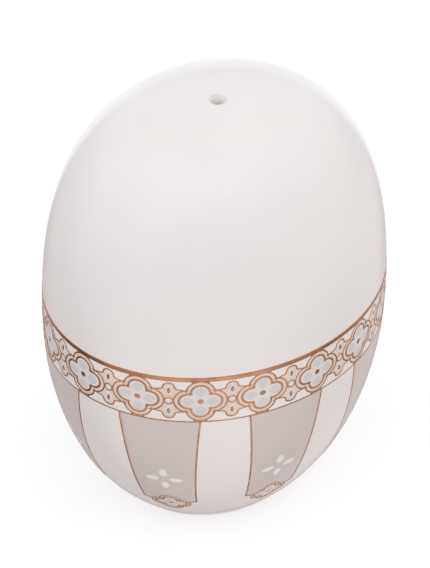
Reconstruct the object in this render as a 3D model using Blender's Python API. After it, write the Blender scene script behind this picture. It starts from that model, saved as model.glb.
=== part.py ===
"""Egg-shaped porcelain salt shaker, in metres, +Z up, standing on Z = 0 with its long side along X.

Two pieces: the hollow oval body, with one pouring hole in its crown and a filling hole inside its
foot ring, and the soft stopper that is pushed up into the filling hole and pulls out downwards.
"""

from math import acos, asin, cos, pi, sin

import bmesh
import bpy
from mathutils import Vector

# Outside of the body
HALF_LENGTH = 0.0291        # centre to side along X, at the widest level
HALF_WIDTH = 0.0251         # centre to side along Y, at the widest level
WIDEST_Z = 0.0372           # height of the widest level above the table
CROWN_RISE = 0.0393         # crown above the widest level
BELLY_DROP = 0.0425         # where the lower curve would close, below the widest level
CROWN_ROUND = 3.02          # powers of the two superellipse quarters of the outline
CROWN_SHOULDER = 2.46
BELLY_ROUND = 2.11
BELLY_SHOULDER = 2.11
CROWN_OVAL_R = 0.0100       # radius from which the crown is fully oval
BASE_OVAL_R = 0.0112        # and the underside

# Wall, holes and foot
WALL = 0.0030
POUR_HOLE_R = 0.00125
POUR_LIP = 0.0005           # radius of the soft lip around the pouring hole
FILL_HOLE_R = 0.0080
RECESS_DEPTH = 0.0040       # foot plane to the recessed base
BASE_WALL = 0.0030
FOOT_WIDTH = 0.0024
FOOT_EDGE = 0.0006          # radius of the foot ring's edges
FILLET = 0.0015             # radius where the inside wall meets the inside floor

# Stopper
GAP = 0.0003                # running gap to the body
FLANGE_R = 0.0096
FLANGE_THICK = 0.0016
PLUG_REACH = 0.0020         # plug above the inside floor
PLUG_WALL = 0.0018
PLUG_LEAD = 0.0006          # taper at the plug's leading end
PLUG_RELIEF = 0.0003        # how far the neck under the sealing rib is cut back
CUP_FLOOR = 0.0003          # floor of the plug's cup above the flange
GRIP_LENGTH = 0.0100
GRIP_WIDTH = 0.0024
GRIP_DEPTH = 0.0012
GRIP_END_STEPS = 8          # facets round each end of the grip bar

SEGMENTS = 56
WELD = 0.000001             # points closer than this are one point
MEAN_RADIUS = (HALF_LENGTH * HALF_WIDTH) ** 0.5
STRETCH = (HALF_LENGTH / HALF_WIDTH) ** 0.5


def clear_scene():
    for item in list(bpy.data.objects):
        bpy.data.objects.remove(item, do_unlink=True)


def make_material(name, color, roughness, metallic=0.0):
    material = bpy.data.materials.new(name)
    material.use_nodes = True
    shader = material.node_tree.nodes["Principled BSDF"]
    shader.inputs["Base Color"].default_value = (*color, 1.0)
    shader.inputs["Roughness"].default_value = roughness
    shader.inputs["Metallic"].default_value = metallic
    return material


def turn_at_radius(radius, reach, round_power):
    return acos((radius / reach) ** (round_power / 2))


def turn_at_height(height, rise, shoulder_power):
    return asin((height / rise) ** (shoulder_power / 2))


def quarter(first_turn, last_turn, steps, reach, rise, round_power, shoulder_power, way):
    """Points (radius, z) on one superellipse quarter. Way is 1 above the widest level, -1 below."""
    points = []
    for step in range(steps + 1):
        turn = first_turn + (last_turn - first_turn) * step / steps
        radius = reach * cos(turn) ** (2 / round_power)
        height = rise * sin(turn) ** (2 / shoulder_power)
        points.append((radius, WIDEST_Z + way * height))
    return points


def arc(radius, z, size, first_degrees, last_degrees, steps):
    """Points (radius, z) on a small circle in the outline's plane."""
    points = []
    for step in range(steps + 1):
        angle = (first_degrees + (last_degrees - first_degrees) * step / steps) * pi / 180
        points.append((radius + size * cos(angle), z + size * sin(angle)))
    return points


def body_outline():
    """The wall's closed outline: outside from crown to foot, then up inside from foot to crown."""
    lip_r = POUR_HOLE_R + POUR_LIP
    crown_turn = turn_at_radius(lip_r, MEAN_RADIUS, CROWN_ROUND)
    crown = quarter(crown_turn, 0, 14, MEAN_RADIUS, CROWN_RISE, CROWN_ROUND, CROWN_SHOULDER, 1)
    foot_turn = turn_at_height(WIDEST_Z - FOOT_EDGE, BELLY_DROP, BELLY_SHOULDER)
    belly = quarter(0, foot_turn, 12, MEAN_RADIUS, BELLY_DROP, BELLY_ROUND, BELLY_SHOULDER, -1)
    foot_r = belly[-1][0]
    foot = arc(foot_r - FOOT_EDGE, FOOT_EDGE, FOOT_EDGE, -30, -90, 2)
    foot += arc(foot_r - FOOT_WIDTH + FOOT_EDGE, FOOT_EDGE, FOOT_EDGE, -90, -180, 3)
    recess = [(foot_r - FOOT_WIDTH, RECESS_DEPTH), (FILL_HOLE_R, RECESS_DEPTH)]

    floor_z = RECESS_DEPTH + BASE_WALL
    inner_reach = MEAN_RADIUS - WALL
    inner_drop = BELLY_DROP - WALL
    inner_rise = CROWN_RISE - WALL
    fillet_turn = turn_at_height(WIDEST_Z - floor_z - FILLET, inner_drop, BELLY_SHOULDER)
    inner_belly = quarter(
        fillet_turn, 0, 8, inner_reach, inner_drop, BELLY_ROUND, BELLY_SHOULDER, -1
    )
    fillet = arc(inner_belly[0][0] - FILLET, floor_z + FILLET, FILLET, -90, -20, 3)
    hole_turn = turn_at_radius(POUR_HOLE_R, inner_reach, CROWN_ROUND)
    inner_crown = quarter(
        0, hole_turn, 11, inner_reach, inner_rise, CROWN_ROUND, CROWN_SHOULDER, 1
    )
    lip = arc(lip_r, crown[0][1] - POUR_LIP, POUR_LIP, 180, 110, 3)

    outside = crown + belly[1:] + foot + recess
    inside = [(FILL_HOLE_R, floor_z)] + fillet + inner_belly + inner_crown[1:] + lip
    return outside + inside


def turned_mesh(outline, closed):
    """A mesh turned about Z from (radius, z) points. Closed outlines join their two ends."""
    mesh = bmesh.new()
    verts = [mesh.verts.new((radius, 0, z)) for radius, z in outline]
    edges = [mesh.edges.new(pair) for pair in zip(verts, verts[1:])]
    if closed:
        edges.append(mesh.edges.new((verts[-1], verts[0])))
    bmesh.ops.spin(
        mesh, geom=verts + edges, cent=(0, 0, 0), axis=(0, 0, 1), angle=2 * pi, steps=SEGMENTS
    )
    bmesh.ops.remove_doubles(mesh, verts=mesh.verts, dist=WELD)
    bmesh.ops.recalc_face_normals(mesh, faces=mesh.faces)
    return mesh


def ovalness(radius, z):
    """0 where the body stays round, at its holes, and 1 where it is fully oval."""
    if z > WIDEST_Z:
        round_r, oval_r = POUR_HOLE_R + POUR_LIP, CROWN_OVAL_R
    else:
        round_r, oval_r = FILL_HOLE_R, BASE_OVAL_R
    blend = min(max((radius - round_r) / (oval_r - round_r), 0.0), 1.0)
    return blend * blend * (3 - 2 * blend)


def make_body(material):
    mesh = turned_mesh(body_outline(), closed=True)
    for vert in mesh.verts:
        amount = ovalness(Vector(vert.co.xy).length, vert.co.z)
        vert.co.x *= 1 + amount * (STRETCH - 1)
        vert.co.y *= 1 + amount * (1 / STRETCH - 1)
    return add_object("porcelain_body", mesh, (0, 0, 0), material)


def stopper_outline():
    """Outline from the middle of the cup's floor to the middle of the underside, z from the flange."""
    plug_r = FILL_HOLE_R - GAP
    plug_top = GAP + BASE_WALL + PLUG_REACH
    cup_r = plug_r - PLUG_WALL
    edge = FLANGE_THICK / 3
    return [
        (0, CUP_FLOOR),
        (cup_r - edge, CUP_FLOOR),
        (cup_r, CUP_FLOOR + edge),
        (cup_r, plug_top),
        (plug_r - PLUG_LEAD, plug_top),
        (plug_r, plug_top - 2 * PLUG_LEAD),
        (plug_r - PLUG_RELIEF, plug_top - 4 * PLUG_LEAD),
        (plug_r - PLUG_RELIEF, 0),
        (FLANGE_R - edge, 0),
        (FLANGE_R, -edge),
        (FLANGE_R, -FLANGE_THICK + edge),
        (FLANGE_R - edge, -FLANGE_THICK),
        (0, -FLANGE_THICK),
    ]


def make_stopper(material):
    """The stopper's origin is on its pull axis, at the top of its flange."""
    seat_z = RECESS_DEPTH - GAP
    mesh = turned_mesh(stopper_outline(), closed=False)
    stopper = add_object("stopper", mesh, (0, 0, seat_z), material)

    bar = bmesh.new()
    overlap = FLANGE_THICK / 2
    top_z = -FLANGE_THICK + overlap
    end_x = (GRIP_LENGTH - GRIP_WIDTH) / 2
    outline = []
    for step in range(2 * GRIP_END_STEPS + 2):
        side = 1 if step <= GRIP_END_STEPS else -1
        turn = pi * (step - (side < 0)) / GRIP_END_STEPS - pi / 2
        x = side * end_x + GRIP_WIDTH / 2 * cos(turn)
        y = GRIP_WIDTH / 2 * sin(turn)
        outline.append(bar.verts.new((x, y, top_z)))
    top = bar.faces.new(outline)
    down = bmesh.ops.extrude_face_region(bar, geom=[top])
    lower = [item for item in down["geom"] if isinstance(item, bmesh.types.BMVert)]
    bmesh.ops.translate(bar, vec=(0, 0, -GRIP_DEPTH - overlap), verts=lower)
    bmesh.ops.recalc_face_normals(bar, faces=bar.faces)
    rim = [edge for edge in bar.edges if all(vert in lower for vert in edge.verts)]
    bmesh.ops.bevel(bar, geom=rim, offset=GRIP_DEPTH / 3, segments=2, profile=0.5, affect="EDGES")
    grip = add_object("grip_bar", bar, (0, 0, seat_z), material)
    grip.hide_render = True
    grip.display_type = "WIRE"

    union = stopper.modifiers.new("grip_union", "BOOLEAN")
    union.operation = "UNION"
    union.solver = "EXACT"
    union.object = grip
    return stopper


def add_object(name, mesh, location, material):
    data = bpy.data.meshes.new(name)
    mesh.to_mesh(data)
    mesh.free()
    data.materials.append(material)
    data.shade_smooth()
    data.set_sharp_from_angle(angle=pi / 5)
    item = bpy.data.objects.new(name, data)
    item.location = location
    bpy.context.scene.collection.objects.link(item)
    return item


def main():
    clear_scene()
    porcelain = make_material("glazed_porcelain", (0.86, 0.84, 0.82), 0.12)
    silicone = make_material("soft_silicone", (0.80, 0.79, 0.76), 0.50)
    make_body(porcelain)
    make_stopper(silicone)


main()
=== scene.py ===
"""The looks of an egg-shaped porcelain salt shaker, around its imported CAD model. Metres, +Z up.

The glazed body is made again, finer, on the CAD body's outline. The gilding and the enamels are
thin raised layers that follow the body's surface. A place on the surface is a share of the girth,
counted from +X, and a rise, the distance up the side from the widest level (negative below it).
"""

from math import acos, asin, cos, pi, radians, sin

import bpy
import numpy as np
from mathutils import Matrix, Vector


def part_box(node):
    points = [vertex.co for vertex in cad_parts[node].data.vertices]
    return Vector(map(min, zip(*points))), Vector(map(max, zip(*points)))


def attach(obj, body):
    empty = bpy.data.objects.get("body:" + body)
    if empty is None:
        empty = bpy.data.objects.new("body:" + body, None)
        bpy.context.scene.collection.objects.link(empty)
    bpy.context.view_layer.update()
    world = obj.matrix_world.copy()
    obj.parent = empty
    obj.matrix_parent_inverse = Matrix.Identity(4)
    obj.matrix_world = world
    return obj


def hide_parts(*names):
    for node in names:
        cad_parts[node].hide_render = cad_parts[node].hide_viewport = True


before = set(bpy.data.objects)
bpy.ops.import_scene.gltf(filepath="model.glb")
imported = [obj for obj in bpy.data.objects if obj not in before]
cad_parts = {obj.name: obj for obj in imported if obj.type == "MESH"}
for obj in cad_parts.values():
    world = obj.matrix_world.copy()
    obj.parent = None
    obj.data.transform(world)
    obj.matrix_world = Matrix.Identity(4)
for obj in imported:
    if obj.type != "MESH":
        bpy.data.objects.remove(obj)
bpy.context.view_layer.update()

MM = 0.001
BODY = "shaker_body"
CAP = "stopper"

# The CAD body's outline, as in part.py
HALF_LENGTH, HALF_WIDTH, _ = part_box("porcelain_body")[1]
WIDEST_Z = 37.2 * MM
CROWN_RISE = 39.3 * MM
BELLY_DROP = 42.5 * MM
CROWN_ROUND = 3.02
CROWN_SHOULDER = 2.46
BELLY_ROUND = 2.11
BELLY_SHOULDER = 2.11
WALL = 3.0 * MM
POUR_HOLE_R = 1.25 * MM
POUR_LIP = 0.5 * MM
FILL_HOLE_R = 8.0 * MM
RECESS_DEPTH = 4.0 * MM
BASE_WALL = 3.0 * MM
FOOT_WIDTH = 2.4 * MM
FOOT_EDGE = 0.6 * MM
FILLET = 1.5 * MM
COVE = 1.0 * MM             # rounding inside the foot ring
MOUTH_EDGE = 0.25 * MM      # rounding of the filling hole's edges
CROWN_OVAL_R = 10.0 * MM    # the section is round at a hole and fully oval from here out
BASE_OVAL_R = 11.2 * MM
BARE_TOP = 0.45 * MM        # height of the unglazed part of the foot
LIP_DEPTH = 0.4 * MM        # how far the outer glaze turns into the pouring hole

RELIEF = 0.06 * MM          # room left under the CAD surface for the raised gilding
MEAN_RADIUS = (HALF_LENGTH * HALF_WIDTH) ** 0.5 - RELIEF
STRETCH = (HALF_LENGTH / HALF_WIDTH) ** 0.5
SEGMENTS = 384              # round the body
TABLE_STEPS = 1500          # along each quarter of the side
TABLE_END = 0.97            # share of each quarter that the tables cover

# Where the decoration lies
FLOWERS = 17
FLOWER_START = -0.04        # first flower from +X, in flower spacings
PANELS = 8
PANEL_START = -0.154        # first panel's middle from +X, in panel spacings
BAND_TOP = 4.50 * MM        # rise of the middle of the wide gold line
BAND_FOOT = -4.40 * MM      # rise of the middle of the fine gold line


# ---------------------------------------------------------------- the body's surface

def quarter(first_turn, last_turn, steps, reach, rise, round_power, shoulder_power, way):
    """Points (radius, z) on one superellipse quarter. Way is 1 above the widest level, -1 below."""
    points = []
    for step in range(steps + 1):
        turn = first_turn + (last_turn - first_turn) * step / steps
        radius = reach * cos(turn) ** (2 / round_power)
        height = rise * sin(turn) ** (2 / shoulder_power)
        points.append((radius, WIDEST_Z + way * height))
    return points


def arc(radius, z, size, first_degrees, last_degrees, steps):
    """Points (radius, z) on a small circle in the outline's plane."""
    points = []
    for step in range(steps + 1):
        angle = radians(first_degrees + (last_degrees - first_degrees) * step / steps)
        points.append((radius + size * cos(angle), z + size * sin(angle)))
    return points


def meridian(round_power, shoulder_power, height, way):
    """Tables of rise, radius and z along one quarter of the side, from the widest level."""
    turns = np.linspace(0, TABLE_END * pi / 2, TABLE_STEPS)
    radius = MEAN_RADIUS * np.cos(turns) ** (2 / round_power)
    z = height * np.sin(turns) ** (2 / shoulder_power)
    steps = np.hypot(np.diff(radius), np.diff(z))
    return way * np.r_[0, np.cumsum(steps)], radius, WIDEST_Z + way * z


CROWN_TABLE = meridian(CROWN_ROUND, CROWN_SHOULDER, CROWN_RISE, 1)
BELLY_TABLE = meridian(BELLY_ROUND, BELLY_SHOULDER, BELLY_DROP, -1)
SIDE_TABLE = [np.r_[down[::-1], up[1:]] for down, up in zip(BELLY_TABLE, CROWN_TABLE)]

NUDGE = 0.02 * MM           # step for finding a slope

ROUND = np.linspace(-2 * pi, 2 * pi, 8001)
GIRTH_STEPS = np.hypot(
    np.diff(MEAN_RADIUS * STRETCH * np.cos(ROUND)), np.diff(MEAN_RADIUS / STRETCH * np.sin(ROUND))
)
GIRTH = GIRTH_STEPS.sum() / 2
SHARE_TABLE = np.r_[0, np.cumsum(GIRTH_STEPS)] / GIRTH - 1


def side_radius(rise):
    return np.interp(rise, SIDE_TABLE[0], SIDE_TABLE[1])


def side_z(rise):
    return np.interp(rise, SIDE_TABLE[0], SIDE_TABLE[2])


def surface(share, rise, lift):
    """Points on the body at (share, rise), lifted off it along its normal."""
    share = (np.asarray(share, float) + 1.5) % 1 - 0.5
    angle = np.interp(share, SHARE_TABLE, ROUND)
    rise = np.asarray(rise, float)
    radius = side_radius(rise)
    slope_r = (side_radius(rise + NUDGE) - side_radius(rise - NUDGE)) / (2 * NUDGE)
    slope_z = (side_z(rise + NUDGE) - side_z(rise - NUDGE)) / (2 * NUDGE)
    place = np.stack(
        [radius * STRETCH * np.cos(angle), radius / STRETCH * np.sin(angle), side_z(rise)], -1
    )
    normal = np.stack(
        [slope_z * np.cos(angle) / STRETCH, slope_z * np.sin(angle) * STRETCH, -slope_r], -1
    )
    normal /= np.linalg.norm(normal, axis=-1, keepdims=True)
    return place + normal * np.asarray(lift)[..., None]


class Spot:
    """A place on the body that a motif is drawn round, x along the girth and y up the side."""

    def __init__(self, share, rise, size=1.0):
        self.share = share
        self.rise = rise
        self.size = size

    def put(self, xy, lift):
        xy = np.asarray(xy, float) * self.size
        rise = self.rise + xy[..., 1]
        reach = GIRTH * side_radius(rise) / MEAN_RADIUS
        return surface(self.share + xy[..., 0] / reach, rise, lift)


# ---------------------------------------------------------------- mesh helpers

class Sheaf:
    """Collects the vertices and faces of one piece."""

    def __init__(self):
        self.points = []
        self.faces = []
        self.count = 0

    def grid(self, rows, close_rows=False, close_columns=False, flip=False):
        """Quads between rows of points of equal length. Returns the index of the first point."""
        rows = np.asarray(rows, float)
        high_count, wide = rows.shape[:2]
        first = self.count
        self.points.append(rows.reshape(-1, 3))
        self.count += high_count * wide
        for row in range(high_count if close_columns else high_count - 1):
            for column in range(wide if close_rows else wide - 1):
                a = first + row * wide + column
                b = first + row * wide + (column + 1) % wide
                c = first + (row + 1) % high_count * wide + (column + 1) % wide
                d = first + (row + 1) % high_count * wide + column
                self.faces.append((a, d, c, b) if flip else (a, b, c, d))
        return first

    def cap(self, indices, flip=False):
        self.faces.append(tuple(reversed(indices)) if flip else tuple(indices))

    def piece(self, name, material, slot, body=BODY):
        data = bpy.data.meshes.new(name)
        data.from_pydata(np.concatenate(self.points).tolist(), [], self.faces)
        data.validate()
        data.shade_smooth()
        data.materials.append(material)
        item = bpy.data.objects.new(name, data)
        bpy.context.scene.collection.objects.link(item)
        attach(item, body)
        return item


# ---------------------------------------------------------------- drawing on the body

SINK = 0.03 * MM            # how far a layer's underside lies inside the body
SHARPEST = 0.6              # limits how far a strip's corners reach out
GIRTH_LINE_STEPS = 720


def side_steps(path, closed):
    """Unit normals to a path's left, longer at its corners so that a strip keeps its width."""
    path = np.asarray(path, float)
    if closed:
        before = path - np.roll(path, 1, axis=0)
        after = np.roll(path, -1, axis=0) - path
    else:
        inner = np.diff(path, axis=0)
        before = np.vstack([inner[:1], inner])
        after = np.vstack([inner, inner[-1:]])
    before /= np.linalg.norm(before, axis=1, keepdims=True)
    after /= np.linalg.norm(after, axis=1, keepdims=True)
    along = before + after
    along /= np.linalg.norm(along, axis=1, keepdims=True)
    stretch = 1 / np.maximum((along * after).sum(1), SHARPEST)
    return np.stack([-along[:, 1], along[:, 0]], -1) * stretch[:, None]


def bead(height, crown=0.28):
    """A gilded line's section, (share of the width, lift): low and rounded, its edges sunk."""
    edge, shoulder = 0.45 * height, 0.9 * height
    return ((-0.5, -SINK), (-0.5, edge), (-crown, shoulder), (0, height),
            (crown, shoulder), (0.5, edge), (0.5, -SINK))


def strip(sheaf, spot, path, width, height=0.04 * MM, closed=True):
    """A line of gilding along a path."""
    path = np.asarray(path, float)
    normals = side_steps(path, closed)
    section = bead(height)
    rows = []
    for across, lift in section:
        xy = path + normals * across * width / spot.size
        rows.append(spot.put(xy, np.full(len(xy), lift)))
    columns = np.swapaxes(np.array(rows), 0, 1)
    first = sheaf.grid(columns, close_rows=True, close_columns=closed, flip=True)
    if not closed:
        wide = len(section)
        last = first + (len(path) - 1) * wide
        sheaf.cap(range(first, first + wide))
        sheaf.cap(range(last, last + wide), flip=True)


def pillow(sheaf, spot, outline, height, edge=0.0, rings=5):
    """A filled shape with a soft domed top. Outline runs counter-clockwise round its middle."""
    outline = np.asarray(outline, float)
    middle = outline.mean(0)
    rows = [spot.put(outline, np.full(len(outline), -SINK))]
    for ring in range(rings + 1):
        toward = ring / (rings + 0.6)
        xy = middle + (outline - middle) * (1 - toward)
        lift = edge + (height - edge) * (1 - (1 - toward) ** 2) ** 0.5
        rows.append(spot.put(xy, np.full(len(outline), lift)))
    first = sheaf.grid(rows, close_rows=True)
    count = len(outline)
    sheaf.cap(range(first, first + count), flip=True)
    last = first + (rings + 1) * count
    sheaf.cap(range(last, last + count))


def slab(sheaf, spot, plan, lift, flip):
    """A thin flat layer over a grid of (x, y). Flip is for rows that run down the side."""
    plan = np.asarray(plan, float)
    tall, wide = plan.shape[:2]
    first = sheaf.grid(spot.put(plan, np.full((tall, wide), lift)), flip=flip)
    second = sheaf.grid(spot.put(plan, np.full((tall, wide), -SINK)), flip=not flip)
    rim = list(range(wide))
    rim += [row * wide + wide - 1 for row in range(1, tall)]
    rim += [(tall - 1) * wide + column for column in range(wide - 2, -1, -1)]
    rim += [row * wide for row in range(tall - 2, 0, -1)]
    for a, b in zip(rim, rim[1:] + rim[:1]):
        face = (first + a, first + b, second + b, second + a)
        sheaf.faces.append(face if flip else face[::-1])


def circle(radius, steps=24):
    turns = [2 * pi * step / steps for step in range(steps)]
    return [(radius * cos(turn), radius * sin(turn)) for turn in turns]


def quatrefoil(half_lobe, reach_x, reach_y, lobe_steps=14, side_points=4):
    """Outline of four round lobes that meet at square notches, counter-clockwise."""
    points = []
    for lobe in range(4):
        reach = reach_x if lobe % 2 == 0 else reach_y
        facing = lobe * pi / 2
        along = (cos(facing), sin(facing))
        across = (-sin(facing), cos(facing))
        centre = reach - half_lobe
        local = []
        for step in range(lobe_steps + 1):
            turn = pi * step / lobe_steps - pi / 2
            local.append((centre + half_lobe * cos(turn), half_lobe * sin(turn)))
        for step in range(1, side_points):
            share = step / side_points
            local.append((centre + (half_lobe - centre) * share, half_lobe))
        local.append((half_lobe, half_lobe))
        for step in range(1, side_points):
            share = step / side_points
            next_reach = reach_y if lobe % 2 == 0 else reach_x
            next_centre = next_reach - half_lobe
            local.append((half_lobe, half_lobe + (next_centre - half_lobe) * share))
        for out, side in local:
            points.append((along[0] * out + across[0] * side, along[1] * out + across[1] * side))
    return points


PETAL_BLUNTNESS = 0.62
LOG_TWO = 0.693


def petal(facing, inner, outer, half_width, fullness, steps=12):
    """A petal's outline: rounded, widest at fullness of its length, facing in degrees."""
    length = outer - inner
    points = []
    for side in (-1, 1):
        for step in range(steps):
            share = step / steps if side < 0 else 1 - step / steps
            bulge = sin(pi * share ** (LOG_TWO / -np.log(fullness))) ** PETAL_BLUNTNESS
            points.append((inner + length * share, side * half_width * bulge))
    turn = radians(facing)
    return [(x * cos(turn) - y * sin(turn), x * sin(turn) + y * cos(turn)) for x, y in points]


def girth_line(sheaf, rise, width, height):
    """A closed line of gilding right round the body."""
    shares = np.linspace(0, 1, GIRTH_LINE_STEPS, endpoint=False)
    rows = []
    for across, lift in bead(height, 0.3):
        rises = np.full(GIRTH_LINE_STEPS, rise + across * width)
        rows.append(surface(shares, rises, np.full(GIRTH_LINE_STEPS, lift)))
    sheaf.grid(np.swapaxes(np.array(rows), 0, 1), close_rows=True, close_columns=True, flip=True)


# ---------------------------------------------------------------- materials

def new_material(name, color, roughness, metallic=0.0):
    material = bpy.data.materials.new(name)
    material.use_nodes = True
    tree = material.node_tree
    shader = tree.nodes["Principled BSDF"]
    shader.inputs["Base Color"].default_value = (*color, 1)
    shader.inputs["Roughness"].default_value = roughness
    shader.inputs["Metallic"].default_value = metallic
    return material, tree, shader


def add_noise(tree, scale, detail):
    place = tree.nodes.new("ShaderNodeTexCoord")
    noise = tree.nodes.new("ShaderNodeTexNoise")
    noise.inputs["Scale"].default_value = scale
    noise.inputs["Detail"].default_value = detail
    tree.links.new(place.outputs["Object"], noise.inputs["Vector"])
    return noise


COLOR_STOPS = (0.35, 0.65)      # of the noise, between which one colour turns into the other
GLOSS_STOPS = (0.3, 0.7)


def mix_colors(tree, shader, noise, first, second):
    ramp = tree.nodes.new("ShaderNodeValToRGB")
    for element, stop, color in zip(ramp.color_ramp.elements, COLOR_STOPS, (first, second)):
        element.position = stop
        element.color = (*color, 1)
    tree.links.new(noise.outputs["Fac"], ramp.inputs["Fac"])
    tree.links.new(ramp.outputs["Color"], shader.inputs["Base Color"])


def vary_roughness(tree, shader, noise, low_value, high_value):
    spread = tree.nodes.new("ShaderNodeMapRange")
    spread.inputs["From Min"].default_value = GLOSS_STOPS[0]
    spread.inputs["From Max"].default_value = GLOSS_STOPS[1]
    spread.inputs["To Min"].default_value = low_value
    spread.inputs["To Max"].default_value = high_value
    tree.links.new(noise.outputs["Fac"], spread.inputs["Value"])
    tree.links.new(spread.outputs["Result"], shader.inputs["Roughness"])


def add_bump(tree, shader, noise, distance, strength):
    bump = tree.nodes.new("ShaderNodeBump")
    bump.inputs["Distance"].default_value = distance
    bump.inputs["Strength"].default_value = strength
    tree.links.new(noise.outputs["Fac"], bump.inputs["Height"])
    tree.links.new(bump.outputs["Normal"], shader.inputs["Normal"])


GLAZE_IOR = 1.52
# painted light: the inside glaze glows in place of the light that comes through the china
PAINTED_INNER_LIGHT = 0.125


def glaze_material(name, first, second, roughness=0.08):
    """Glossy fired glaze: faint clouding, a slow waviness and slightly uneven gloss."""
    material, tree, shader = new_material(name, first, roughness)
    mix_colors(tree, shader, add_noise(tree, 60, 3), first, second)
    vary_roughness(tree, shader, add_noise(tree, 220, 2), roughness * 0.8, roughness * 1.4)
    add_bump(tree, shader, add_noise(tree, 110, 1), 0.04 * MM, 0.5)
    shader.inputs["IOR"].default_value = GLAZE_IOR
    return material


def gold_material():
    """Fired copper-gold: metallic, brushed on by hand, so its gloss and colour are uneven."""
    material, tree, shader = new_material("copper_gold", (0.62, 0.27, 0.12), 0.22, 1.0)
    mix_colors(tree, shader, add_noise(tree, 420, 3), (0.40, 0.19, 0.10), (0.57, 0.28, 0.145))
    vary_roughness(tree, shader, add_noise(tree, 1500, 3), 0.16, 0.30)
    add_bump(tree, shader, add_noise(tree, 2600, 2), 0.004 * MM, 0.5)
    return material


def inner_glaze_material():
    """The glaze inside. Its glow is painted light, for the light that comes through the thin china.
    """
    material, tree, shader = new_material("inner_glaze", (0.84, 0.81, 0.79), 0.25)
    mix_colors(tree, shader, add_noise(tree, 60, 3), (0.83, 0.80, 0.78), (0.85, 0.82, 0.80))
    add_bump(tree, shader, add_noise(tree, 160, 2), 0.05 * MM, 0.5)
    # painted light: emission standing in for the light that comes through the thin china
    shader.inputs["Emission Color"].default_value = (1.0, 0.95, 0.91, 1)
    shader.inputs["Emission Strength"].default_value = PAINTED_INNER_LIGHT
    return material


def bisque_material():
    """The bare, unglazed foot ring."""
    material, tree, shader = new_material("bare_foot", (0.74, 0.71, 0.66), 0.75)
    mix_colors(tree, shader, add_noise(tree, 900, 4), (0.62, 0.58, 0.53), (0.80, 0.77, 0.72))
    add_bump(tree, shader, add_noise(tree, 5200, 3), 0.03 * MM, 0.8)
    return material


def silicone_material():
    """Soft milky silicone with a satin skin."""
    material, tree, shader = new_material("milky_silicone", (0.80, 0.79, 0.76), 0.45)
    mix_colors(tree, shader, add_noise(tree, 300, 2), (0.77, 0.76, 0.73), (0.83, 0.82, 0.80))
    vary_roughness(tree, shader, add_noise(tree, 1800, 3), 0.38, 0.55)
    add_bump(tree, shader, add_noise(tree, 4200, 2), 0.01 * MM, 0.6)
    shader.inputs["Subsurface Weight"].default_value = 0.3
    shader.inputs["Subsurface Radius"].default_value = (3 * MM, 2.5 * MM, 2 * MM)
    shader.inputs["Subsurface Scale"].default_value = 1.0
    return material


# ---------------------------------------------------------------- the glazed body

def body_outline():
    """The wall's closed outline: outside from crown to foot, then up inside from foot to crown."""
    lip_r = POUR_HOLE_R + POUR_LIP
    crown_turn = acos((lip_r / MEAN_RADIUS) ** (CROWN_ROUND / 2))
    crown = quarter(crown_turn, 0, 90, MEAN_RADIUS, CROWN_RISE, CROWN_ROUND, CROWN_SHOULDER, 1)
    foot_turn = asin(((WIDEST_Z - FOOT_EDGE) / BELLY_DROP) ** (BELLY_SHOULDER / 2))
    belly = quarter(0, foot_turn, 80, MEAN_RADIUS, BELLY_DROP, BELLY_ROUND, BELLY_SHOULDER, -1)
    foot_r = belly[-1][0]
    foot = arc(foot_r - FOOT_EDGE, FOOT_EDGE, FOOT_EDGE, -30, -90, 6)
    foot += arc(foot_r - FOOT_WIDTH + FOOT_EDGE, FOOT_EDGE, FOOT_EDGE, -90, -180, 6)
    recess_r = foot_r - FOOT_WIDTH
    recess = arc(recess_r - COVE, RECESS_DEPTH - COVE, COVE, 0, 90, 6)
    mouth_r = FILL_HOLE_R + MOUTH_EDGE
    mouth = arc(mouth_r, RECESS_DEPTH + MOUTH_EDGE, MOUTH_EDGE, 270, 180, 4)

    floor_z = RECESS_DEPTH + BASE_WALL
    reach = MEAN_RADIUS - WALL
    drop = BELLY_DROP - WALL
    rise = CROWN_RISE - WALL
    mouth += arc(mouth_r, floor_z - MOUTH_EDGE, MOUTH_EDGE, 180, 90, 4)
    fillet_turn = asin(((WIDEST_Z - floor_z - FILLET) / drop) ** (BELLY_SHOULDER / 2))
    inner_belly = quarter(fillet_turn, 0, 24, reach, drop, BELLY_ROUND, BELLY_SHOULDER, -1)
    fillet = arc(inner_belly[0][0] - FILLET, floor_z + FILLET, FILLET, -90, -20, 5)
    hole_turn = acos((POUR_HOLE_R / reach) ** (CROWN_ROUND / 2))
    inner_crown = quarter(0, hole_turn, 30, reach, rise, CROWN_ROUND, CROWN_SHOULDER, 1)
    lip = arc(lip_r, crown[0][1] - POUR_LIP, POUR_LIP, 180, 100, 8)
    outside = crown + belly[1:] + foot + recess + mouth
    inside = fillet + inner_belly + inner_crown[1:] + lip
    return outside, inside


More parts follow.
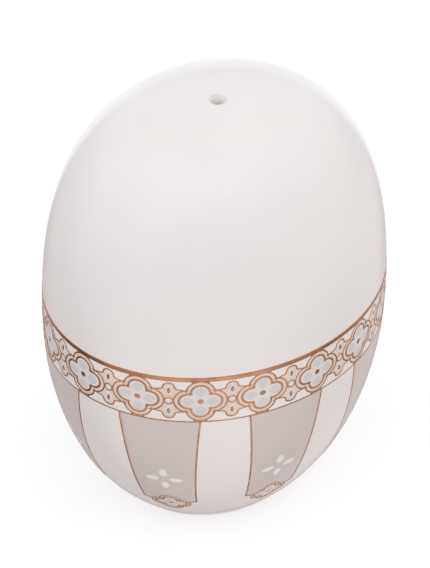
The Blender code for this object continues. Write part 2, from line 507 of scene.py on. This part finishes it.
def make_body(glaze, bisque, inner_glaze):
    """The body: glazed outside, a bare foot, and the inside, which is material 2."""
    outside, inside = body_outline()
    outline = np.array(outside + inside)
    radius, z = outline[:, 0], outline[:, 1]
    upper = z > WIDEST_Z
    round_r = np.where(upper, POUR_HOLE_R + POUR_LIP, FILL_HOLE_R)
    oval_r = np.where(upper, CROWN_OVAL_R, BASE_OVAL_R)
    blend = np.clip((radius - round_r) / (oval_r - round_r), 0, 1)
    blend = blend * blend * (3 - 2 * blend)
    turns = np.linspace(0, 2 * pi, SEGMENTS, endpoint=False)
    wide = radius * (1 + blend * (STRETCH - 1))
    narrow = radius * (1 + blend * (1 / STRETCH - 1))
    rows = np.stack([
        wide[:, None] * np.cos(turns), narrow[:, None] * np.sin(turns),
        np.repeat(z[:, None], SEGMENTS, 1),
    ], -1)
    sheaf = Sheaf()
    sheaf.grid(rows, close_rows=True, close_columns=True, flip=True)
    body = sheaf.piece("glazed_body", glaze, "porcelain")
    body.data.materials.append(bisque)
    body.data.materials.append(inner_glaze)
    crown_z = outline[0][1]
    for face in body.data.polygons:
        if face.center.z < BARE_TOP:
            face.material_index = 1
        elif face.index // SEGMENTS >= len(outside) and face.center.z < crown_z - LIP_DEPTH:
            face.material_index = 2
    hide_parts("porcelain_body")


# ---------------------------------------------------------------- gilding and enamels

LOBE = 1.47 * MM            # half the width of a flower's lobe, to the inner gold outline
REACH_X = 3.42 * MM         # middle of a flower to the tip of its inner outline, along the girth
REACH_Y = 3.30 * MM         # and up the side
RING = 0.82 * MM            # from the inner outline to the outer one
EYE_R = 0.50 * MM
PETAL_INNER = 0.80 * MM     # a flower's petals, from its middle
PETAL_OUTER = 3.04 * MM
PETAL_HALF_WIDTH = 1.02 * MM
PETAL_FULLNESS = 0.54

# How high the layers stand off the glaze
TOP_LIFT = 0.05 * MM        # the middle of the boldest gold and of the petals
GOLD_EDGE = 0.03 * MM
GROUND_LIFT = 0.022 * MM
GROUND_EDGE = 0.018 * MM
CREAM_LIFT = 0.016 * MM
CREAM_EDGE = 0.008 * MM
LINK_CREAM_LIFT = 0.005 * MM
PANEL_LIFT = 0.012 * MM

WIDE_LINE = 0.85 * MM       # the lines' widths
FINE_LINE = 0.27 * MM
INNER_LINE = 0.36 * MM
OUTER_LINE = 0.24 * MM
LINK_RING_LINE = 0.26 * MM
PANEL_SIDE_LINE = 0.26 * MM
PANEL_END_LINE = 0.20 * MM


def flower_outline(offset):
    return quatrefoil(LOBE + offset, REACH_X + offset, REACH_Y + offset)


def draw_flower(spot, gold, cream, petals, ground):
    """One four-lobed flower: two gold outlines with cream between, four petals and a gold eye."""
    strip(gold, spot, flower_outline(0), INNER_LINE, 0.045 * MM)
    strip(gold, spot, flower_outline(RING), OUTER_LINE)
    pillow(gold, spot, circle(EYE_R), TOP_LIFT, 0.02 * MM)
    pillow(ground, spot, flower_outline(0), GROUND_LIFT, GROUND_EDGE)
    layers = ((0.0, -SINK), (0.0, CREAM_EDGE), (RING / 2, CREAM_LIFT), (RING, CREAM_EDGE),
              (RING, -SINK))
    rows = []
    for offset, lift in layers:
        outline = flower_outline(offset)
        rows.append(spot.put(outline, np.full(len(outline), lift)))
    cream.grid(rows, close_rows=True, close_columns=True, flip=True)
    for facing in (0, 90, 180, 270):
        outline = petal(facing, PETAL_INNER, PETAL_OUTER, PETAL_HALF_WIDTH, PETAL_FULLNESS)
        pillow(petals, spot, outline, TOP_LIFT)


FLOWER_STEP = 10.02 * MM    # between two flowers' middles
BULB = 0.98 * MM            # half the width of a link's bulb
BULB_RISE = 2.72 * MM       # of the middle of its round top
SHOULDER = 0.42 * MM        # radius where the bulb turns out into its shoulder
LINK_REACH = 2.60 * MM      # of the shoulders, to the notch in the next flower
LINK_FOOT = 2.22 * MM       # rise of the shoulders' ends
SHOULDER_HOLLOW = 1.6       # how hollow the shoulders' slope is
BLEND_START = 0.86          # of the bulb's half width, where it starts to turn out
BLEND_END = 0.55            # of the shoulder's radius
LINK_RING_R = 0.64 * MM
LINK_GROUND_R = 0.60 * MM
ALMOND_INNER = 1.55 * MM
ALMOND_OUTER = 2.76 * MM
ALMOND_HALF_WIDTH = 0.27 * MM
OVAL_RISE = 2.12 * MM       # of the pale oval behind an almond
OVAL_HALF_WIDTH = 0.58 * MM
OVAL_HALF_HEIGHT = 1.12 * MM


def link_edge(across):
    """Rise of the line round a link: a round top, then shoulders that drop to the flowers."""
    x = np.abs(across)
    start = BULB * BLEND_START
    turn = BULB + SHOULDER * BLEND_END
    top = BULB_RISE + np.sqrt(np.maximum(BULB ** 2 - x ** 2, 0))
    drop = np.clip((x - BULB) / (LINK_REACH - BULB), 0, 1)
    shoulder = LINK_FOOT + (BULB_RISE - SHOULDER / 2 - LINK_FOOT) * (1 - drop) ** SHOULDER_HOLLOW
    blend = np.clip((x - start) / (turn - start), 0, 1)
    blend = blend * blend * (3 - 2 * blend)
    return top * (1 - blend) + shoulder * blend


def draw_link(spot, gold, cream, ovals):
    """What joins two flowers: a ring, an almond above and below it, and a bulb round each."""
    strip(gold, spot, circle(LINK_RING_R), LINK_RING_LINE)
    pillow(ovals, spot, circle(LINK_GROUND_R), GROUND_LIFT, GROUND_EDGE)
    near = BULB * np.sin(np.linspace(-pi / 2, pi / 2, 33))
    far = np.linspace(BULB, LINK_REACH, 18)[1:]
    across = np.concatenate([-far[::-1], near, far])
    rise = link_edge(across)
    beside = np.abs(FLOWER_STEP / 2 - (REACH_X - LOBE) - np.abs(across))
    floor_rise = np.sqrt(np.maximum((LOBE + RING / 2) ** 2 - beside ** 2, 0))
    for way in (1, -1):
        almond = petal(90 * way, ALMOND_INNER, ALMOND_OUTER, ALMOND_HALF_WIDTH, 0.5)
        pillow(gold, spot, almond, TOP_LIFT, GOLD_EDGE, rings=3)
        oval = [(OVAL_HALF_WIDTH * x, way * OVAL_RISE + OVAL_HALF_HEIGHT * y)
                for x, y in circle(1)]
        pillow(ovals, spot, oval, GROUND_LIFT, GROUND_EDGE)
        border = np.stack([across, way * rise], -1)
        strip(gold, spot, border, OUTER_LINE, 0.038 * MM, closed=False)
        plan = [np.stack([across, way * (floor_rise + (rise - floor_rise) * share)], -1)
                for share in np.linspace(0, 1, 9)]
        slab(cream, spot, plan, LINK_CREAM_LIFT, flip=way < 0)


WEDGE_START = 0.72 * MM     # a gold wedge's inner end, from the flower's middle line
UPPER_WEDGE_END = 1.34 * MM
LOWER_WEDGE_END = 1.10 * MM
UPPER_BORDER = BAND_TOP - 0.36 * MM     # where the wedges meet the wide and fine lines
LOWER_BORDER = -BAND_FOOT - 0.08 * MM


def draw_corners(spot, gold):
    """The small gold wedges where a flower's outer outline runs into the lines above and below."""
    radius = LOBE + RING
    middle = REACH_Y - LOBE
    for way, border, end in (
        (1, UPPER_BORDER, UPPER_WEDGE_END), (-1, LOWER_BORDER, LOWER_WEDGE_END)
    ):
        arc_x = np.linspace(WEDGE_START, end, 8)
        arc_y = middle + np.sqrt(radius ** 2 - arc_x ** 2)
        edge = list(zip(arc_x, np.minimum(arc_y, border)))
        edge += [(x, border + 0.02 * MM) for x in arc_x[::-1]]
        for side in (1, -1):
            outline = [(side * x, way * y) for x, y in edge]
            if side * way < 0:
                outline.reverse()
            pillow(gold, spot, outline, 0.04 * MM, GOLD_EDGE, rings=1)


PANEL_TOP = 6.60 * MM       # half a panel's width at the band
PANEL_FOOT = 4.32 * MM      # and at its foot
PANEL_END = -28.2 * MM      # rise of a panel's lower corners
PANEL_SAG = 0.8 * MM        # its lower edge's dip between them
MOTIF_RISE = -20.1 * MM     # of the middle of a panel's four petals
MOTIF_INNER = 0.78 * MM     # those petals, from their middle
MOTIF_OUTER = 3.20 * MM
MOTIF_HALF_WIDTH = 0.70 * MM
MOTIF_FULLNESS = 0.42
ORNAMENT_RISE = -29.2 * MM  # of the small flower at a panel's foot
ORNAMENT_SIZE = 0.75        # against the band's flowers


def panel_half_width(rise):
    share = (BAND_FOOT - rise) / (BAND_FOOT - PANEL_END)
    return PANEL_TOP + (PANEL_FOOT - PANEL_TOP) * share


def draw_panel(spot, grey, gold):
    """A grey panel from the band down, with a gold line along each side and its lower edge."""
    across = np.linspace(-1, 1, 25)
    rows = []
    for down in np.linspace(0, 1, 49):
        rise = BAND_FOOT + (PANEL_END - PANEL_SAG * (1 - across ** 2) - BAND_FOOT) * down
        rows.append(np.stack([across * panel_half_width(rise), rise], -1))
    slab(grey, spot, rows, PANEL_LIFT, flip=True)
    for side in (-1, 1):
        rises = np.linspace(BAND_FOOT, PANEL_END, 60)
        path = np.stack([side * panel_half_width(rises), rises], -1)
        strip(gold, spot, path, PANEL_SIDE_LINE, closed=False)
    strip(gold, spot, rows[-1], PANEL_END_LINE, closed=False)


def draw_motif(spot, white):
    """Four white petals on a panel."""
    for facing in (0, 90, 180, 270):
        outline = petal(facing, MOTIF_INNER, MOTIF_OUTER, MOTIF_HALF_WIDTH, MOTIF_FULLNESS)
        pillow(white, spot, outline, TOP_LIFT, 0.015 * MM)


def make_decoration():
    """All the gilding and enamels, one piece for each kind of thing."""
    gold = gold_material()
    white = glaze_material("white_enamel", (0.80, 0.78, 0.77), (0.83, 0.81, 0.80), 0.12)
    pearl = glaze_material("pearl_enamel", (0.71, 0.675, 0.68), (0.74, 0.705, 0.71), 0.12)
    lilac = glaze_material("lilac_enamel", (0.625, 0.595, 0.59), (0.655, 0.625, 0.62), 0.12)
    cream_glaze = glaze_material("cream_enamel", (0.72, 0.59, 0.515), (0.75, 0.62, 0.545), 0.12)
    grey = glaze_material("grey_enamel", (0.60, 0.53, 0.515), (0.63, 0.56, 0.545), 0.09)

    lines = Sheaf()
    girth_line(lines, BAND_TOP, WIDE_LINE, TOP_LIFT)
    lines.piece("gilt_wide_line", gold, "gilding")
    lines = Sheaf()
    girth_line(lines, BAND_FOOT, FINE_LINE, 0.045 * MM)
    lines.piece("gilt_fine_line", gold, "gilding")

    flowers, links, cream, petals, ground = Sheaf(), Sheaf(), Sheaf(), Sheaf(), Sheaf()
    for number in range(FLOWERS):
        share = (number + FLOWER_START) / FLOWERS
        draw_flower(Spot(share, 0), flowers, cream, petals, ground)
        draw_corners(Spot(share, 0), flowers)
        draw_link(Spot(share + 0.5 / FLOWERS, 0), links, cream, ground)
    flowers.piece("gilt_flowers", gold, "gilding")
    links.piece("gilt_links", gold, "gilding")
    cream.piece("cream_rings", cream_glaze, "pale_enamel")
    petals.piece("flower_petals", lilac, "pale_enamel")
    ground.piece("band_ground", pearl, "pale_enamel")

    panels, borders, motifs = Sheaf(), Sheaf(), Sheaf()
    ornaments, ornament_cream, ornament_petals = Sheaf(), Sheaf(), Sheaf()
    ornament_ground = Sheaf()
    for number in range(PANELS):
        share = (number + PANEL_START) / PANELS
        draw_panel(Spot(share, 0), panels, borders)
        draw_motif(Spot(share, MOTIF_RISE), motifs)
        spot = Spot(share, ORNAMENT_RISE, ORNAMENT_SIZE)
        draw_flower(spot, ornaments, ornament_cream, ornament_petals, ornament_ground)
    panels.piece("grey_panels", grey, "grey_enamel")
    borders.piece("gilt_panel_lines", gold, "gilding")
    motifs.piece("panel_petals", white, "pale_enamel")
    ornament_ground.piece("ornament_ground", pearl, "pale_enamel")
    ornaments.piece("gilt_ornaments", gold, "gilding")
    ornament_cream.piece("ornament_cream", cream_glaze, "pale_enamel")
    ornament_petals.piece("ornament_petals", lilac, "pale_enamel")


# ---------------------------------------------------------------- the stopper

STOPPER_SEGMENTS = 144
STOPPER_GAP = 0.3 * MM      # flange to base, plug to hole, and neck to plug
FLANGE_DEPTH = 1.6 * MM
CUP_WALL = 1.8 * MM
CUP_MIDDLE = 0.6            # of the cup's radius, where its floor's first ring lies
SOFT_EDGE = 0.5 * MM
RIM_EDGE = 0.3 * MM         # rounding of the plug's rim
RIM_IN = 0.9 * MM           # how far the rim leans in, to ease the plug into the hole
PLUG_SHOULDER = 1.2 * MM    # below the rim, where the plug is at its widest
PLUG_HEEL = 1.5 * MM
NECK_TOP = 2.4 * MM
SMALL_EDGE = 0.25 * MM
DISH_IN = 1.6 * MM          # the flange's dished underside: where it starts, slopes and ends
DISH_SLOPE = 2.1 * MM
DISH_DEPTH = 0.35 * MM
GRIP_SEGMENTS = 48
GRIP_R = 1.2 * MM
GRIP_HALF = 5.0 * MM
GRIP_ROOT = 0.9 * MM        # how far the grip bar reaches into the flange
GRIP_TAPER = 0.45


def stopper_outline():
    """Points (radius, z) from the middle of the cup's floor, over the rim, to the underside."""
    low_corner, high_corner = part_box("stopper")
    flange_r = high_corner.x
    rim_z = high_corner.z
    flange_top = RECESS_DEPTH - STOPPER_GAP
    flange_low = flange_top - FLANGE_DEPTH
    plug_r = FILL_HOLE_R - STOPPER_GAP
    neck_r = plug_r - STOPPER_GAP
    cup_r = plug_r - CUP_WALL
    cup_floor = flange_top + STOPPER_GAP
    outline = [(0.0, cup_floor), (cup_r * CUP_MIDDLE, cup_floor)]
    outline += arc(cup_r - SOFT_EDGE, cup_floor + SOFT_EDGE, SOFT_EDGE, -90, 0, 6)
    outline += arc(cup_r + RIM_EDGE, rim_z - RIM_EDGE, RIM_EDGE, 180, 90, 5)
    outline += arc(plug_r - RIM_IN, rim_z - RIM_EDGE, RIM_EDGE, 90, 30, 5)
    outline += [(plug_r, rim_z - PLUG_SHOULDER), (plug_r, rim_z - PLUG_HEEL)]
    outline += [(neck_r, rim_z - NECK_TOP), (neck_r, flange_top + SMALL_EDGE)]
    outline += arc(neck_r + SMALL_EDGE, flange_top + SMALL_EDGE, SMALL_EDGE, 200, 270, 4)
    outline += arc(flange_r - SOFT_EDGE, flange_top - SOFT_EDGE, SOFT_EDGE, 90, 0, 6)
    outline += arc(flange_r - SOFT_EDGE, flange_low + SOFT_EDGE, SOFT_EDGE, 0, -90, 6)
    outline += arc(flange_r - DISH_IN, flange_low + SMALL_EDGE, SMALL_EDGE, 270, 180, 3)
    dish_z = flange_low + DISH_DEPTH
    outline += [(flange_r - DISH_SLOPE, dish_z), (0.0, dish_z)]
    return np.array(outline), flange_low + GRIP_ROOT, low_corner.z


def grip_rows(top_z, low_z):
    """Rings of the grip bar under the flange, a long round-ended bar with a rounded lower edge."""
    levels = [(1.0, top_z), (1.0, low_z + SOFT_EDGE)]
    levels += [(1 - GRIP_TAPER * (1 - cos(turn)), low_z + SOFT_EDGE * (1 - sin(turn)))
               for turn in np.linspace(0.2, pi / 2, 6)]
    reach = GRIP_HALF - GRIP_R
    rows = []
    for size, z in levels:
        ring = []
        for step in range(GRIP_SEGMENTS):
            turn = 2 * pi * (step + 0.5) / GRIP_SEGMENTS
            end = reach if cos(turn) > 0 else -reach
            ring.append((end + GRIP_R * size * cos(turn), GRIP_R * size * sin(turn), z))
        rows.append(ring)
    return rows


def make_stopper(material):
    """The soft stopper, on the CAD stopper's sizes with rounded edges and a moulded grip."""
    outline, grip_top, grip_low = stopper_outline()
    turns = np.linspace(0, 2 * pi, STOPPER_SEGMENTS, endpoint=False)
    rows = np.stack([
        outline[1:-1, :1] * np.cos(turns), outline[1:-1, :1] * np.sin(turns),
        np.repeat(outline[1:-1, 1:], len(turns), 1),
    ], -1)
    sheaf = Sheaf()
    for part in (rows, grip_rows(grip_top, grip_low)):
        count = len(part[0])
        first = sheaf.grid(part, close_rows=True, flip=True)
        sheaf.cap(range(first, first + count))
        last = first + (len(part) - 1) * count
        sheaf.cap(range(last, last + count), flip=True)
    item = sheaf.piece("soft_stopper", material, "stopper", CAP)
    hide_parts("stopper")


# ---------------------------------------------------------------- camera, floor and light

# The photo's view: degrees round from -Y, degrees up, a slight tilt, and metres to what it aims at
AZIMUTH = -35.71
ELEVATION = 40.71
ROLL = 0.81
DISTANCE = 0.54
AIM_Z = 38.7 * MM
LENS = 211.66
SENSOR = 36


def direction(azimuth, elevation):
    """The way towards a place, its azimuth counted from the camera's, positive to the right."""
    turn, rise = radians(AZIMUTH + azimuth), radians(elevation)
    return Vector((sin(turn) * cos(rise), -cos(turn) * cos(rise), sin(rise)))


def make_camera():
    back = direction(0, ELEVATION)
    camera = bpy.data.objects.new("camera", bpy.data.cameras.new("camera"))
    camera.data.lens = LENS
    camera.data.sensor_width = SENSOR
    camera.data.clip_start = 0.01
    view = back.to_track_quat("Z", "Y").to_matrix().to_4x4()
    view = view @ Matrix.Rotation(radians(ROLL), 4, "Z")
    view.translation = Vector((0, 0, AIM_Z)) + back * DISTANCE
    camera.matrix_world = view
    bpy.context.scene.collection.objects.link(camera)
    bpy.context.scene.camera = camera


FLOOR_HALF_SIZE = 3.0
FLOOR_DROP = 0.02 * MM      # keeps it just clear of the foot ring
FLOOR_TONE = 0.5
FLOOR_ROUGHNESS = 0.9
FLOOR_GLOW = 0.53           # its own light, as on a light table


def make_floor():
    """A plain pale light table. It is clear from below, so that the underside can be looked at.

    It takes the body's shadow, but its own light doesn't fall on the body: the dome's does.
    """
    size = FLOOR_HALF_SIZE
    data = bpy.data.meshes.new("floor")
    corners = [(-size, -size, 0), (size, -size, 0), (size, size, 0), (-size, size, 0)]
    data.from_pydata(corners, [], [(0, 1, 2, 3)])
    material, tree, shader = new_material("pale_floor", (FLOOR_TONE,) * 3, FLOOR_ROUGHNESS)
    shader.inputs["Emission Color"].default_value = (1, 1, 1, 1)
    shader.inputs["Emission Strength"].default_value = FLOOR_GLOW
    side = tree.nodes.new("ShaderNodeNewGeometry")
    clear = tree.nodes.new("ShaderNodeBsdfTransparent")
    either = tree.nodes.new("ShaderNodeMixShader")
    tree.links.new(side.outputs["Backfacing"], either.inputs["Fac"])
    tree.links.new(shader.outputs["BSDF"], either.inputs[1])
    tree.links.new(clear.outputs["BSDF"], either.inputs[2])
    tree.links.new(either.outputs["Shader"], tree.nodes["Material Output"].inputs["Surface"])
    data.materials.append(material)
    floor = bpy.data.objects.new("floor", data)
    floor.location.z = -FLOOR_DROP
    floor.visible_diffuse = False
    floor.visible_glossy = False
    floor.visible_shadow = False
    bpy.context.scene.collection.objects.link(floor)


# Soft lights: azimuth, elevation, full-bright and faded-out angles, colour (1 is white). Those
# below the horizon stand for what the table throws back.
STUDIO = {
    "ceiling": (0, 90, 15, 75, (0.22, 0.21, 0.20)),
    "high_front": (0, 70, 5, 50, (0.12, 0.12, 0.10)),
    "front": (0, 42, 8, 58, (0.60, 0.66, 0.69)),
    "front_right": (60, 42, 8, 58, (0.48, 0.48, 0.53)),
    "front_left": (-60, 42, 8, 58, (0.64, 0.65, 0.65)),
    "side_right": (120, 42, 8, 58, (0.60, 0.58, 0.55)),
    "side_left": (-120, 42, 8, 58, (0.43, 0.41, 0.40)),
    "rear_high": (180, 42, 8, 58, (0.11, 0.11, 0.09)),
    "low_right": (60, 2, 8, 50, (0.44, 0.40, 0.36)),
    "low_left": (-60, 2, 8, 50, (0.40, 0.40, 0.40)),
    "rear_right": (120, 2, 8, 50, (0.49, 0.49, 0.50)),
    "rear_left": (-120, 2, 8, 50, (0.52, 0.50, 0.52)),
    "rear": (180, 2, 8, 50, (0.45, 0.51, 0.60)),
    "backdrop_top": (180, 22, 22, 30, (0.07, 0.06, 0.11)),
    "bounce_left": (-90, -45, 8, 58, (0.16, 0.15, 0.15)),
    "bounce_front": (0, -45, 8, 58, (0.93, 0.83, 0.79)),
    "bounce_right": (90, -45, 8, 58, (0.41, 0.41, 0.40)),
    "bounce_rear": (180, -45, 8, 58, (0.48, 0.42, 0.42)),
    "table_glow": (11, -38, 12, 34, (0.22, 0.25, 0.27)),
    "left_lamp": (-41, 50, 0.7, 1.1, (4.0, 4.0, 4.0)),
    "right_lamp": (27, 51, 0.8, 1.3, (5.0, 5.0, 5.0)),
}

# The bright backdrop behind the object, an upright oval on the unit sphere round the scene
BACKDROP_MIDDLE = -0.20
BACKDROP_HALF_WIDTH = 0.50
BACKDROP_HALF_HEIGHT = 0.46
BACKDROP_FADE = (1.06, 0.94)        # dark outside the first, full inside the second
BACKDROP_COLOR = (0.40, 0.46, 0.54)


def add_fade(tree, value, none, full, color):
    """A light's colour, faded in smoothly as value goes from none to full."""
    fade = tree.nodes.new("ShaderNodeMapRange")
    fade.interpolation_type = "SMOOTHSTEP"
    fade.inputs["From Min"].default_value = none
    fade.inputs["From Max"].default_value = full
    tint = tree.nodes.new("ShaderNodeVectorMath")
    tint.operation = "SCALE"
    tint.inputs[0].default_value = color
    tree.links.new(value, fade.inputs["Value"])
    tree.links.new(fade.outputs["Result"], tint.inputs["Scale"])
    return tint


def add_backdrop(tree, place):
    """The backdrop's light, sharp-edged, as the glaze mirrors it at both sides of the body."""
    oval = tree.nodes.new("ShaderNodeMapping")
    oval.vector_type = "TEXTURE"
    oval.inputs["Location"].default_value = direction(180, 0) + Vector((0, 0, BACKDROP_MIDDLE))
    oval.inputs["Rotation"].default_value = (0, 0, radians(AZIMUTH))
    oval.inputs["Scale"].default_value = (BACKDROP_HALF_WIDTH, 1, BACKDROP_HALF_HEIGHT)
    reach = tree.nodes.new("ShaderNodeVectorMath")
    reach.operation = "LENGTH"
    tree.links.new(place.outputs["Generated"], oval.inputs["Vector"])
    tree.links.new(oval.outputs["Vector"], reach.inputs[0])
    return add_fade(tree, reach.outputs["Value"], *BACKDROP_FADE, BACKDROP_COLOR)


def make_light():
    """A studio dome: the soft-edged lights are added up in the world's background."""
    world = bpy.data.worlds.new("studio")
    bpy.context.scene.world = world
    world.use_nodes = True
    tree = world.node_tree
    background = tree.nodes["Background"]
    place = tree.nodes.new("ShaderNodeTexCoord")
    total = add_backdrop(tree, place)
    for azimuth, elevation, bright, faded, color in STUDIO.values():
        toward = tree.nodes.new("ShaderNodeVectorMath")
        toward.operation = "DOT_PRODUCT"
        toward.inputs[1].default_value = direction(azimuth, elevation)
        tree.links.new(place.outputs["Generated"], toward.inputs[0])
        tint = add_fade(
            tree, toward.outputs["Value"], cos(radians(faded)), cos(radians(bright)), color
        )
        both = tree.nodes.new("ShaderNodeVectorMath")
        tree.links.new(total.outputs["Vector"], both.inputs[0])
        tree.links.new(tint.outputs["Vector"], both.inputs[1])
        total = both
    tree.links.new(total.outputs["Vector"], background.inputs["Color"])
    bpy.context.scene.view_settings.view_transform = "Standard"


make_camera()
make_floor()
make_light()
porcelain = glaze_material("porcelain_glaze", (0.795, 0.757, 0.75), (0.81, 0.772, 0.765))
make_body(porcelain, bisque_material(), inner_glaze_material())
make_stopper(silicone_material())
make_decoration()
